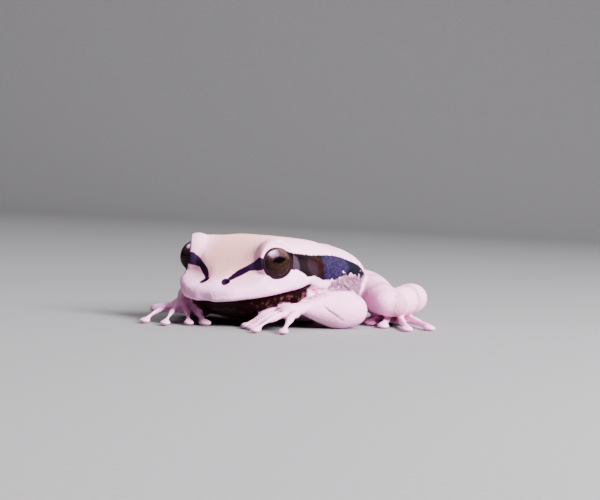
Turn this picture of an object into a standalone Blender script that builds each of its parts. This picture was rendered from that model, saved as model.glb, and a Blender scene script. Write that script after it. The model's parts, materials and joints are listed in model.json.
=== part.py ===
# Masked tree frog, life size, resting low on its belly with the head turned a little to its right.
# The frog faces -Y, its left side is +X, up is +Z. All sizes below are in millimetres.
import math

import bmesh
import bpy
import numpy as np
from mathutils import Matrix, Vector

metresPerMillimetre = 0.001
gap = 0.3  # clear space that neighbouring pieces keep

# Driving dimensions of the animal
bodyLength = 58.0  # snout tip to vent, measured straight along Y
snoutY = -bodyLength / 2  # the snout tip before the head is turned
eyeLevel = 13.3  # height of the eyes before the head is lowered
eyeBack = 9.8  # distance of the eyeball's centre behind the snout tip
eyeSide = 7.6  # distance of the eyeball's centre from the middle
eyeRadius = 2.8
lidThickness = 0.55
browHeight = 0.35  # the upper lids stand this much higher than a ball would
lidOpening = math.radians(61)  # half angle of the open lids, seen from the eyeball's centre
lidBearing = math.radians(57)  # the opening faces this far round from straight ahead
lidLift = math.radians(15)
mouthFront = -5.25  # level of the mouth line against the eyes, at the snout tip
mouthRear = -5.6  # and at the corner
mouthCornerBack = 16.8
neckBack = 22.4  # where the head ends and the torso starts
headLowered = math.radians(10)
headTurned = math.radians(12)  # towards the frog's right
neckPivot = Vector((0.0, snoutY + 22.0, 6.5))

# Profiles along the body: (distance behind the snout tip, value)
backLine = [(0, -3.5), (0.7, -3.0), (2.3, -2.5), (4, -1.9), (5.7, -0.6), (7.5, 1.1), (9.5, 2.7), (11.5, 3.4),
            (14, 3.3), (17, 2.9), (20, 2.2), (24, 1.3), (28, 0.8), (33, 0.4), (38, -0.1), (43, -1.2),
            (48, -3.2), (52, -5.3), (55.5, -7.6), (58, -9.6)]
ridgeSide = [(0, 0.8), (0.7, 1.1), (2.3, 1.5), (4, 2.0), (5.7, 3.2), (7.5, 5.2), (9.2, 6.7), (12, 7.4),
             (14.5, 7.9), (17, 8.4), (20, 8.3), (24, 7.6)]
ridgeLine = [(0, -4.0), (0.7, -3.4), (2.3, -2.9), (4, -2.4), (5.7, -1.3), (7.5, 0.2), (9.2, 1.8), (12, 2.2),
             (14.5, 1.5), (17, 0.7), (20, 0.0), (24, -0.7)]
halfWidth = [(0, 2.0), (0.7, 4.0), (2.3, 6.0), (4.5, 7.8), (6.8, 9.1), (9, 9.9), (11.5, 10.4),
             (14, 10.7), (17, 10.8), (19.5, 10.7), (22, 10.6), (26, 11.1), (31, 11.9), (36, 11.8), (41, 10.5),
             (46, 8.7), (50, 7.0), (54, 4.9), (56.5, 3.2), (58, 1.8)]
widestLine = [(0, -3.8), (0.7, -3.55), (4, -3.45), (17, -3.85), (20, -4.5), (23, -5.3), (27, -6.0), (31, -6.4),
              (36, -6.9), (41, -7.7), (50, -9.1), (58, -10.4)]
bellyLine = [(0, -5.6), (0.7, -6.2), (1.5, -7.1), (3, -8.1), (6, -9.2), (10, -10.2), (14, -11.1),
             (18, -12.1), (22, -13.0), (26, -13.4), (30, -13.5), (44, -13.5), (49, -13.2),
             (54, -12.0), (58, -10.8)]
lorealHollow = [(0, 0.0), (2.3, 0.35), (4.5, 0.6), (7, 0.5), (9, 0.2), (12, 0.2), (15, 0.15),
                (17, 0.25), (20, 0.0)]
mouthGroove = 0.7
archSquareness = 2.6  # 2 would make the torso's upper half an ellipse
nostril = (1.85, 3.75, -2.6)  # to the side, behind the snout tip, against the eyes
drumPlace = (10.2, 19.0, -2.5)
drumRadius = 1.85
chinSetBack = 1.3  # the lower jaw ends this far behind the upper lip

# Limbs: joints of the left arm and leg in the resting pose, and how the right ones differ
leftArm = {"shoulder": (6.4, -4.4, 6.6), "elbow": (13.4, -6.2, 3.1), "wrist": (8.8, -17.0, 4.1),
           "knuckles": (7.5, -21.2, 3.5), "fan": (-42, -22, -4, 16), "heading": -10}
rightArm = {"shoulder": (-6.4, -4.4, 6.6), "elbow": (-13.8, -6.6, 3.1), "wrist": (-12.2, -16.7, 3.8),
            "knuckles": (-11.5, -21.0, 2.8), "fan": (-36, -18, 0, 20), "heading": 10}
palmRadii = [(0, 1.3), (0.5, 1.7), (1, 2.0)]
fingerLengths = (5.4, 6.8, 10.2, 8.4)
fingerSpread = 1.1  # between the roots of neighbouring fingers
fingerRadius = 0.58
fingerDisc = (1.2, 1.35, 0.56)
fingerWebReach = 0.3
upperArmRadii = [(0, 3.1), (0.45, 2.7), (1, 2.5)]
forearmRadii = [(0, 2.95), (0.25, 3.45), (0.6, 2.7), (1, 1.3)]
hipJoint = (4.8, 19.5, 5.6)
kneeJoint = (17.4, 1.6, 4.3)
heelJoint = (12.0, 26.6, 2.6)
soleJoint = (15.6, 11.6, 1.5)
thighRadii = [(0, 3.4), (0.3, 4.0), (0.7, 3.4), (1, 2.5)]
shankRadii = [(0, 2.4), (0.3, 2.9), (0.65, 2.3), (1, 1.6)]
tarsusRadii = [(0, 1.65), (0.5, 1.35), (1, 1.5)]
toeLengths = (5.6, 8.4, 12.6, 17.2, 13.2)
toeSpread = 0.72
toeFan = (-16, -3, 10, 23, 39)
toeRadius = 0.6
toeDisc = (1.08, 1.2, 0.52)
webReach = 0.5  # share of a toe's length that the web fills


def smoothThrough(keys, at):
    # Cubic curve through (position, value) keys, with slopes from the neighbouring keys.
    knots = np.array([key[0] for key in keys], float)
    values = np.array([key[1] for key in keys], float)
    steps = np.diff(knots)
    shape = (len(steps),) + (1,) * (values.ndim - 1)
    secants = np.diff(values, axis=0) / steps.reshape(shape)
    slopes = np.empty_like(values)
    slopes[0], slopes[-1] = secants[0], secants[-1]
    before, after = steps[:-1].reshape((-1,) + shape[1:]), steps[1:].reshape((-1,) + shape[1:])
    slopes[1:-1] = (secants[:-1] * after + secants[1:] * before) / (before + after)
    at = np.clip(np.asarray(at, float), knots[0], knots[-1])
    index = np.clip(np.searchsorted(knots, at, side="right") - 1, 0, len(steps) - 1)
    width = steps[index].reshape(at.shape + (1,) * (values.ndim - 1))
    t = ((at - knots[index]).reshape(width.shape)) / width
    return (values[index] * (1 + 2 * t) * (1 - t) ** 2 + slopes[index] * width * t * (1 - t) ** 2
            + values[index + 1] * t * t * (3 - 2 * t) + slopes[index + 1] * width * t * t * (t - 1))


def fade(value, start, end):
    t = min(max((value - start) / (end - start), 0.0), 1.0)
    return t * t * (3 - 2 * t)


def profile(keys, back):
    return float(smoothThrough(keys, back))


def headHalf(back):
    # Half outline of the head's cross section, from the crown round the lip to the throat.
    top, belly = eyeLevel + profile(backLine, back), eyeLevel + profile(bellyLine, back)
    ridge = (profile(ridgeSide, back), eyeLevel + profile(ridgeLine, back))
    side, level = profile(halfWidth, back), eyeLevel + profile(widestLine, back)
    hollow = profile(lorealHollow, back)
    depth = max(level - belly, 0.3)
    jaw = min(1.0, max(depth - 2.0, 0.0) / 2.0)
    return [(0, top),
            (ridge[0] * 0.55, top - 0.12 * (top - ridge[1])),
            ridge,
            (0.52 * ridge[0] + 0.48 * side - hollow, 0.5 * (ridge[1] + level) + 0.4),
            (side - 0.4, level + min(1.2, 0.4 * (ridge[1] - level) + 0.1)),
            (side, level),
            (side - 0.3, level - min(1.0, 0.5 * depth)),
            (side - 0.85, level - min(1.65, 0.82 * depth)),
            (side - 0.9 - mouthGroove * jaw, level - min(1.85, 0.9 * depth)),
            (side - 1.25, level - min(2.4, 0.93 * depth)),
            (side - 1.9 - 0.6 * jaw, 0.45 * (level - 2.4 * jaw) + 0.55 * belly),
            (side * 0.5, belly + 0.12 * depth * jaw),
            (0, belly)]


def torsoHalf(back):
    # Half outline of the body's cross section: a low arch on a flatter belly.
    top, belly = eyeLevel + profile(backLine, back), eyeLevel + profile(bellyLine, back)
    side, level = profile(halfWidth, back), eyeLevel + profile(widestLine, back)
    points = []
    for turn in (90, 70, 52, 35, 18, 0, -12, -22, -32, -42, -54, -70, -90):
        c, s = math.cos(math.radians(turn)), math.sin(math.radians(turn))
        power = 2 / archSquareness if turn > 0 else 2 / 2.7
        reach = top - level if turn > 0 else level - belly
        points.append((side * abs(c) ** power, level + math.copysign(reach * abs(s) ** power, s)))
    points[0], points[-1] = (0, top), (0, belly)
    return points


def crossSection(back, perSpan):
    # Closed ring of (x, z) points at one distance behind the snout tip.
    share = max(fade(back, 17.0, 24.0), 1 - fade(back, 0.4, 3.2))
    half = [((1 - share) * a[0] + share * b[0], (1 - share) * a[1] + share * b[1])
            for a, b in zip(headHalf(back), torsoHalf(back))]
    ring = half + [(-x, z) for x, z in reversed(half[1:-1])]
    wrapped = ring[-3:] + ring + ring[:4]
    chords = [math.dist(a, b) ** 0.5 for a, b in zip(wrapped, wrapped[1:])]
    knots = np.concatenate([[0.0], np.cumsum(chords)])
    at = np.concatenate([np.linspace(knots[i], knots[i + 1], perSpan, endpoint=False)
                         for i in range(3, 3 + len(ring))])
    return smoothThrough(list(zip(knots, wrapped)), at)


def meshObject(name, points, faces):
    mesh = bpy.data.meshes.new(name)
    mesh.from_pydata([tuple(p) for p in points], [], faces)
    obj = bpy.data.objects.new(name, mesh)
    bpy.context.scene.collection.objects.link(obj)
    shaped = bmesh.new()
    shaped.from_mesh(mesh)
    bmesh.ops.recalc_face_normals(shaped, faces=shaped.faces)
    shaped.to_mesh(mesh)
    shaped.free()
    return obj


def ringsToSolid(name, rings, firstPole, lastPole):
    # Skins a list of equal rings and closes each end on a pole point.
    count = len(rings[0])
    points = [tuple(p) for ring in rings for p in ring] + [tuple(firstPole), tuple(lastPole)]
    faces = []
    for r in range(len(rings) - 1):
        for k in range(count):
            a, b = r * count + k, r * count + (k + 1) % count
            faces.append((a, b, b + count, a + count))
    first, last = len(points) - 2, len(points) - 1
    for k in range(count):
        faces.append((first, (k + 1) % count, k))
        end = (len(rings) - 1) * count
        faces.append((last, end + k, end + (k + 1) % count))
    return meshObject(name, points, faces)


def chinShift(back, z):
    # Sets the front of the lower jaw back under the upper lip.
    below = eyeLevel + mouthFront + 0.1 - z
    return chinSetBack * fade(below, -0.25, 0.6) * (1 - fade(back, 1.5, 13.0))


def axialBody(name, perSpan=1, headStep=0.9, torsoStep=2.6):
    # Head and torso in one smooth solid, before the head is turned.
    nose = [0.0, 0.3, 0.7, 1.2]
    heads = np.arange(1.9, neckBack + 3, headStep)
    torso = np.arange(neckBack + 4.4, bodyLength - 1, torsoStep)
    stations = nose + list(heads) + list(torso) + [bodyLength - 0.7, bodyLength]
    rings = []
    for back in stations:
        rings.append([(x, snoutY + back + chinShift(back, z), z) for x, z in crossSection(back, perSpan)])
    middle = [np.mean(ring, axis=0) for ring in (rings[0], rings[-1])]
    return ringsToSolid(name, rings, middle[0] + (0, -0.12, 0), middle[1] + (0, 0.25, 0))


def sweep(name, path, radii, steps=12, sides=12, flat=1.0, capRings=3):
    # Limb-like solid along a smooth path with rounded ends; flat is height over width.
    knots = np.concatenate([[0.0], np.cumsum([math.dist(a, b) for a, b in zip(path, path[1:])])])
    keys = list(zip(knots / knots[-1], path))
    shares = np.linspace(0, 1, steps)
    centres = smoothThrough(keys, shares)
    ahead = smoothThrough(keys, np.clip(shares + 0.01, 0, 1))
    behind = smoothThrough(keys, np.clip(shares - 0.01, 0, 1))
    tangents = ahead - behind
    tangents /= np.linalg.norm(tangents, axis=1)[:, None]
    sizes = smoothThrough(radii, shares)
    rounding = [math.pi / 2 * k / (capRings + 1) for k in range(capRings, 0, -1)]
    stations = [(centres[0] - tangents[0] * sizes[0] * math.sin(a), tangents[0], sizes[0] * math.cos(a))
                for a in rounding]
    stations += list(zip(centres, tangents, sizes))
    stations += [(centres[-1] + tangents[-1] * sizes[-1] * math.sin(a), tangents[-1],
                  sizes[-1] * math.cos(a)) for a in reversed(rounding)]
    rings = []
    for centre, tangent, size in stations:
        across = np.cross(tangent, (0, 0, 1))
        across /= np.linalg.norm(across)
        up = np.cross(across, tangent)
        rings.append([centre + size * (math.cos(a) * across + flat * math.sin(a) * up)
                      for a in (2 * math.pi * k / sides for k in range(sides))])
    return ringsToSolid(name, rings, centres[0] - tangents[0] * sizes[0],
                        centres[-1] + tangents[-1] * sizes[-1])


def ball(name, centre, radii, turn=0.0, segments=16, rings=10, axis=None):
    bpy.ops.mesh.primitive_uv_sphere_add(segments=segments, ring_count=rings, radius=1)
    obj = bpy.context.object
    obj.name = name
    spin = Matrix.Rotation(turn, 4, "Z")
    if axis is not None:
        spin = Vector(axis).to_track_quat("Z", "Y").to_matrix().to_4x4()
    obj.data.transform(Matrix.Translation(centre) @ spin @ Matrix.Diagonal((*radii, 1)))
    return obj


def wedge(name, outline, reach=25.0):
    # Prism across the body from a (distance behind the snout tip, height) outline.
    count = len(outline)
    points = [(x, snoutY + back, z) for x in (-reach, reach) for back, z in outline]
    faces = [tuple(range(count)), tuple(range(count, 2 * count))]
    faces += [(k, (k + 1) % count, count + (k + 1) % count, count + k) for k in range(count)]
    return meshObject(name, points, faces)


def block(name, low, high):
    bpy.ops.mesh.primitive_cube_add(size=1)
    obj = bpy.context.object
    obj.name = name
    low, high = Vector(low), Vector(high)
    obj.data.transform(Matrix.Translation((low + high) / 2) @ Matrix.Diagonal((*(high - low), 1)))
    return obj


def copyOf(obj, name):
    twin = obj.copy()
    twin.data = obj.data.copy()
    twin.name = name
    bpy.context.scene.collection.objects.link(twin)
    return twin


def discard(obj):
    bpy.data.objects.remove(obj)


def applyModifiers(obj):
    graph = bpy.context.evaluated_depsgraph_get()
    made = bpy.data.meshes.new_from_object(obj.evaluated_get(graph))
    obj.modifiers.clear()
    obj.data = made


def keepLargest(obj):
    # Drops loose scraps, so that the node stays one closed body.
    shaped = bmesh.new()
    shaped.from_mesh(obj.data)
    bmesh.ops.remove_doubles(shaped, verts=shaped.verts, dist=1e-4)
    bmesh.ops.dissolve_degenerate(shaped, edges=shaped.edges, dist=1e-4)
    bmesh.ops.triangulate(shaped, faces=shaped.faces)
    unseen, islands = set(shaped.verts), []
    while unseen:
        stack, island = [unseen.pop()], []
        while stack:
            vert = stack.pop()
            island.append(vert)
            for edge in vert.link_edges:
                other = edge.other_vert(vert)
                if other in unseen:
                    unseen.remove(other)
                    stack.append(other)
        islands.append(island)
    largest = max(islands, key=len)
    bmesh.ops.delete(shaped, geom=[v for i in islands if i is not largest for v in i], context="VERTS")
    shaped.to_mesh(obj.data)
    shaped.free()


def boolean(obj, other, operation, solver="EXACT"):
    modifier = obj.modifiers.new(operation.lower(), "BOOLEAN")
    modifier.operation = operation
    modifier.solver = solver
    modifier.object = other
    applyModifiers(obj)
    keepLargest(obj)


def cutAway(obj, cutter):
    boolean(obj, cutter, "DIFFERENCE")
    discard(cutter)


def unite(name, pieces, solver="EXACT"):
    # One union of all the pieces of a node.
    group = bpy.data.collections.new(name + "_pieces")
    bpy.context.scene.collection.children.link(group)
    first = pieces[0]
    for piece in pieces[1:]:
        group.objects.link(piece)
    modifier = first.modifiers.new("union", "BOOLEAN")
    modifier.operation = "UNION"
    modifier.solver = solver
    modifier.operand_type = "COLLECTION"
    modifier.collection = group
    applyModifiers(first)
    for piece in pieces[1:]:
        discard(piece)
    bpy.data.collections.remove(group)
    first.name = name
    keepLargest(first)
    return first


def inflated(obj, by):
    # A copy grown along its normals, used to keep the gap between two pieces.
    twin = copyOf(obj, obj.name + "_grown")
    modifier = twin.modifiers.new("grow", "DISPLACE")
    modifier.strength = by
    modifier.mid_level = 0.0
    applyModifiers(twin)
    return twin


def keepClear(obj, *neighbours):
    for neighbour in neighbours:
        cutAway(obj, inflated(neighbour, gap))


def lowerAndTurnHead(obj):
    # Lowers the snout and turns it to the frog's right, fading out behind the neck.
    for vert in obj.data.vertices:
        share = 1 - fade(vert.co.y - snoutY, 19.5, 29.0)
        bend = Matrix.Rotation(-headTurned * share, 4, "Z") @ Matrix.Rotation(headLowered * share, 4, "X")
        vert.co = neckPivot + bend @ (vert.co - neckPivot)


def mirrored(point, side):
    return (point[0] * side, point[1], point[2])


def eyeCentre(side):
    return Vector((eyeSide * side, snoutY + eyeBack, eyeLevel - 0.1))


def lidAxis(side):
    flat = math.cos(lidLift)
    return Vector((side * math.sin(lidBearing) * flat, -math.cos(lidBearing) * flat, math.sin(lidLift)))


def lidOpeningCutter(side):
    depth = 6.0
    bpy.ops.mesh.primitive_cone_add(vertices=24, radius1=0.01, radius2=depth * math.tan(lidOpening),
                                    depth=depth)
    cone = bpy.context.object
    aim = lidAxis(side).to_track_quat("Z", "Y").to_matrix().to_4x4()
    cone.data.transform(Matrix.Translation(eyeCentre(side)) @ aim @ Matrix.Translation((0, 0, depth / 2)))
    return cone


def eyeball(side, name):
    eye = ball(name, eyeCentre(side), (eyeRadius,) * 3, segments=18, rings=12, axis=lidAxis(side))
    return eye


def eardrum(side, name):
    place = Vector((drumPlace[0] * side, snoutY + drumPlace[1], eyeLevel + drumPlace[2]))
    return ball(name, place, (drumRadius, drumRadius, 0.55), segments=14, rings=6, axis=(side, 0.06, 0.3))


def mouthLine(shift):
    # The line between the lips, moved up or down by shift, from before the snout to the corner.
    slope = (mouthRear - mouthFront) / mouthCornerBack
    front = (-9.0, eyeLevel + mouthFront - 9.0 * slope + shift)
    return front, (mouthCornerBack + shift, eyeLevel + mouthRear + shift)


def buildHead(whole, eyes, drums):
    head = copyOf(whole, "head")
    lids = []
    for side in (1, -1):
        shell = eyeRadius + gap + lidThickness
        centre = eyeCentre(side) + Vector((0, 0, browHeight * 0.6))
        lids.append(ball("lid", centre - lidAxis(side) * 0.25, (shell, shell * 1.04, shell + browHeight),
                         segments=20, rings=12))
        rim = (nostril[0] * side * 0.92, snoutY + nostril[1], eyeLevel + nostril[2] - 0.25)
        lids.append(ball("nostrilRim", rim, (0.75, 0.85, 0.6), segments=10, rings=6))
    head = unite("head", [head] + lids)
    front, corner = mouthLine(gap / 2)
    cutAway(head, wedge("belowMouth", [front, corner, (neckBack - 1.2, -8), (-9, -8)]))
    cutAway(head, block("behindNeck", (-20, snoutY + neckBack - gap / 2, -10), (20, snoutY + 80, 40)))
    for side in (1, -1):
        cutAway(head, lidOpeningCutter(side))
        opening = (nostril[0] * side * 1.1, snoutY + nostril[1], eyeLevel + nostril[2] + 0.12)
        cutAway(head, ball("nostril", opening, (0.42, 0.36, 0.32), segments=8, rings=5))
    for eye in eyes:
        cutAway(head, inflated(eye, gap))
    for drum in drums:
        cutAway(head, inflated(drum, gap))
    return head


def buildJaw(whole):
    jaw = copyOf(whole, "lower_jaw")
    front, corner = mouthLine(-gap / 2)
    cutAway(jaw, wedge("aboveMouth", [front, corner, (neckBack - 1.2 - gap, -8), (90, -8), (90, 40), (-9, 40)]))
    return jaw


def buildTorso(whole):
    torso = copyOf(whole, "torso")
    cutAway(torso, block("beforeNeck", (-20, snoutY - 5, -10), (20, snoutY + neckBack + gap / 2, 40)))
    return torso


def digit(name, base, heading, length, radius, disc):
    # A finger or toe arched from its knuckle down to a round disc that lies on the floor.
    forward = Vector((math.sin(math.radians(heading)), -math.cos(math.radians(heading)), 0))
    base = Vector(base)
    tip = Vector((base.x, base.y, 0)) + forward * length
    middle = base + forward * length * 0.5 + Vector((0, 0, 0.25 - 0.35 * base.z))
    path = [tuple(base), tuple(middle), (tip.x, tip.y, radius * 0.85)]
    radii = [(0, radius * 1.25), (0.35, radius * 0.95), (0.55, radius * 1.1), (1, radius * 0.85)]
    bone = sweep(name, path, radii, steps=5, sides=6, capRings=1)
    pad = ball(name + "_pad", (tip.x, tip.y, disc[2] * 0.85), disc, turn=math.radians(heading),
               segments=10, rings=5)
    return [bone, pad], tip, forward


def webBetween(name, base, tips, reach, thickness=0.5):
    # Web membrane: a fan from the sole out to scalloped edges between the digits, at their height.
    root = Vector((base[0] + 0.06, base[1] + 0.04, 0))
    outline = [(root + (tips[0] - root) * 0.1, 0.1)]
    for one, two in zip(tips, tips[1:]):
        outline.append((root + (one - root) * reach, reach))
        outline.append((root + ((one - root) + (two - root)) * 0.5 * reach * 0.72, reach * 0.72))
    outline.append((root + (tips[-1] - root) * reach, reach))
    outline.append((root + (tips[-1] - root) * 0.1, 0.1))
    start = base[2] - 0.37
    rise = [max(start + (0.55 - start) * share - 0.1, thickness / 2 + 0.05) for _, share in outline]
    count = len(outline)
    points = [(p.x, p.y, z - thickness / 2) for (p, _), z in zip(outline, rise)]
    points += [(p.x, p.y, z + thickness / 2) for (p, _), z in zip(outline, rise)]
    points += [(root.x, root.y, start - thickness / 2), (root.x, root.y, start + thickness / 2)]
    faces = []
    for k in range(count):
        n = (k + 1) % count
        faces += [(k, n, count + n, count + k), (2 * count, n, k), (2 * count + 1, count + k, count + n)]
    return meshObject(name, points, faces)


def buildHand(side, arm, name):
    wrist, knuckles = Vector(arm["wrist"]), Vector(arm["knuckles"])
    outward = Vector((0, 0, 1)).cross(knuckles - wrist).normalized() * side
    palm = sweep(name, [tuple(wrist), tuple((wrist + knuckles) / 2), tuple(knuckles)], palmRadii,
                 steps=5, sides=12, flat=0.6, capRings=2)
    pieces, tips = [palm], []
    for k, (length, angle) in enumerate(zip(fingerLengths, arm["fan"])):
        heading = arm["heading"] + angle * side
        base = knuckles + outward * (k - 1.5) * fingerSpread + Vector((0, 0, -0.3))
        parts, tip, forward = digit(f"{name}_finger{k}", base, heading, length, fingerRadius, fingerDisc)
        pieces += parts
        tips.append(tip)
    pieces.append(webBetween(name + "_web", knuckles, tips, fingerWebReach))
    return unite(name, pieces, solver="MANIFOLD")


def buildFoot(side, name):
    heel, sole = Vector(mirrored(heelJoint, side)), Vector(mirrored(soleJoint, side))
    tarsus = sweep(name, [tuple(heel), tuple((heel + sole) / 2 + Vector((0.4 * side, 0, -0.2))), tuple(sole)],
                   tarsusRadii, steps=6, sides=10, flat=0.85, capRings=2)
    outward = Vector((0, 0, 1)).cross(sole - heel).normalized() * side
    pieces, tips = [tarsus], []
    for k, (length, angle) in enumerate(zip(toeLengths, toeFan)):
        base = sole + outward * (k - 2) * toeSpread + Vector((0, 0, -0.3))
        parts, tip, forward = digit(f"{name}_toe{k}", base, angle * side, length, toeRadius, toeDisc)
        pieces += parts
        tips.append(tip)
    pieces.append(webBetween(name + "_web", sole, tips, webReach))
    return unite(name, pieces, solver="MANIFOLD")


def buildArm(arm, letter):
    shoulder, elbow, wrist = (Vector(arm[k]) for k in ("shoulder", "elbow", "wrist"))
    bulge = Vector((math.copysign(0.8, elbow.x), 1.2, 0))
    upper = sweep("upper_arm_" + letter, [tuple(shoulder), tuple((shoulder + elbow) / 2 + bulge), tuple(elbow)],
                  upperArmRadii, steps=5, sides=12)
    fore = sweep("forearm_" + letter, [tuple(elbow), tuple((elbow + wrist) / 2 + Vector((0, 0, 0.1))),
                                       tuple(wrist)], forearmRadii, steps=7, sides=12, flat=0.98)
    return upper, fore


def buildLeg(side, letter):
    hip, knee, heel = (Vector(mirrored(p, side)) for p in (hipJoint, kneeJoint, heelJoint))
    outward = Vector((side, 0, 0))
    thigh = sweep("thigh_" + letter, [tuple(hip), tuple((hip + knee) / 2 + outward * 0.4 + Vector((0, 0, 0.3))),
                                      tuple(knee)], thighRadii, steps=7, sides=14, flat=0.92)
    start = knee + Vector((1.0 * side, 0.6, -0.2))
    shank = sweep("shank_" + letter, [tuple(start), tuple((start + heel) / 2 + outward * 3.1 + Vector((0, 0, 1.2))),
                                      tuple(heel)], shankRadii, steps=9, sides=12, flat=0.95)
    return thigh, shank


def restOnFloor(obj):
    cutAway(obj, block("floor", (-60, -60, -20), (60, 60, 0)))


def material(name, colour, roughness):
    finish = bpy.data.materials.new(name)
    finish.use_nodes = True
    shader = finish.node_tree.nodes["Principled BSDF"]
    shader.inputs["Base Color"].default_value = (*colour, 1)
    shader.inputs["Roughness"].default_value = roughness
    return finish


def buildFrog():
    whole = axialBody("whole")
    eyes = [eyeball(1, "eye_left"), eyeball(-1, "eye_right")]
    drums = [eardrum(1, "eardrum_left"), eardrum(-1, "eardrum_right")]
    head = buildHead(whole, eyes, drums)
    jaw, torso = buildJaw(whole), buildTorso(whole)
    discard(whole)
    for obj in [head, jaw, torso] + eyes + drums:
        lowerAndTurnHead(obj)
    pieces = [head, jaw, torso] + eyes + drums
    for arm, letter in ((leftArm, "left"), (rightArm, "right")):
        upper, fore = buildArm(arm, letter)
        hand = buildHand(1 if letter == "left" else -1, arm, "hand_" + letter)
        keepClear(hand, fore)
        keepClear(fore, upper, torso, head, jaw)
        keepClear(upper, torso, head, jaw)
        pieces += [upper, fore, hand]
    for side, letter in ((1, "left"), (-1, "right")):
        thigh, shank = buildLeg(side, letter)
        foot = buildFoot(side, "foot_" + letter)
        keepClear(foot, shank, thigh)
        keepClear(shank, thigh, torso)
        keepClear(thigh, torso)
        pieces += [thigh, shank, foot]
    for obj in pieces:
        if min(v.co.z for v in obj.data.vertices) < 0:
            restOnFloor(obj)
    return pieces


def finish(pieces):
    skin = material("skin", (0.72, 0.56, 0.50), 0.45)
    iris = material("eye", (0.10, 0.05, 0.03), 0.1)
    drum = material("eardrum", (0.10, 0.06, 0.07), 0.5)
    corners = np.array([tuple(v.co) for obj in pieces for v in obj.data.vertices])
    low, high = corners.min(0), corners.max(0)
    shift = Vector((-(low[0] + high[0]) / 2, -(low[1] + high[1]) / 2, -low[2]))
    home = bpy.data.collections.new("masked_tree_frog")
    bpy.context.scene.collection.children.link(home)
    for obj in pieces:
        obj.data.transform(Matrix.Scale(metresPerMillimetre, 4) @ Matrix.Translation(shift))
        obj.data.materials.clear()
        obj.data.materials.append(iris if obj.name.startswith("eye_") else
                                  drum if obj.name.startswith("eardrum") else skin)
        obj.data.shade_smooth()
        obj.data.set_sharp_from_angle(angle=math.radians(40))
        for used in obj.users_collection:
            used.objects.unlink(obj)
        home.objects.link(obj)
    print("shift", tuple(shift), "size", tuple(high - low))
    for obj in pieces:
        print(obj.name, len(obj.data.polygons))
    print("triangles", sum(len(obj.data.polygons) for obj in pieces))


for old in list(bpy.data.objects):
    bpy.data.objects.remove(old)
finish(buildFrog())
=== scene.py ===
# Masked tree frog at life size: one skin, two eyes and a plain studio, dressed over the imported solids.
# Shapes are made in millimetres in the frog's own frame (-Y ahead, +X its left side), then moved into place.
import json
import math

import bmesh
import bpy
import numpy as np
from mathutils import Matrix, Vector

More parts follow.
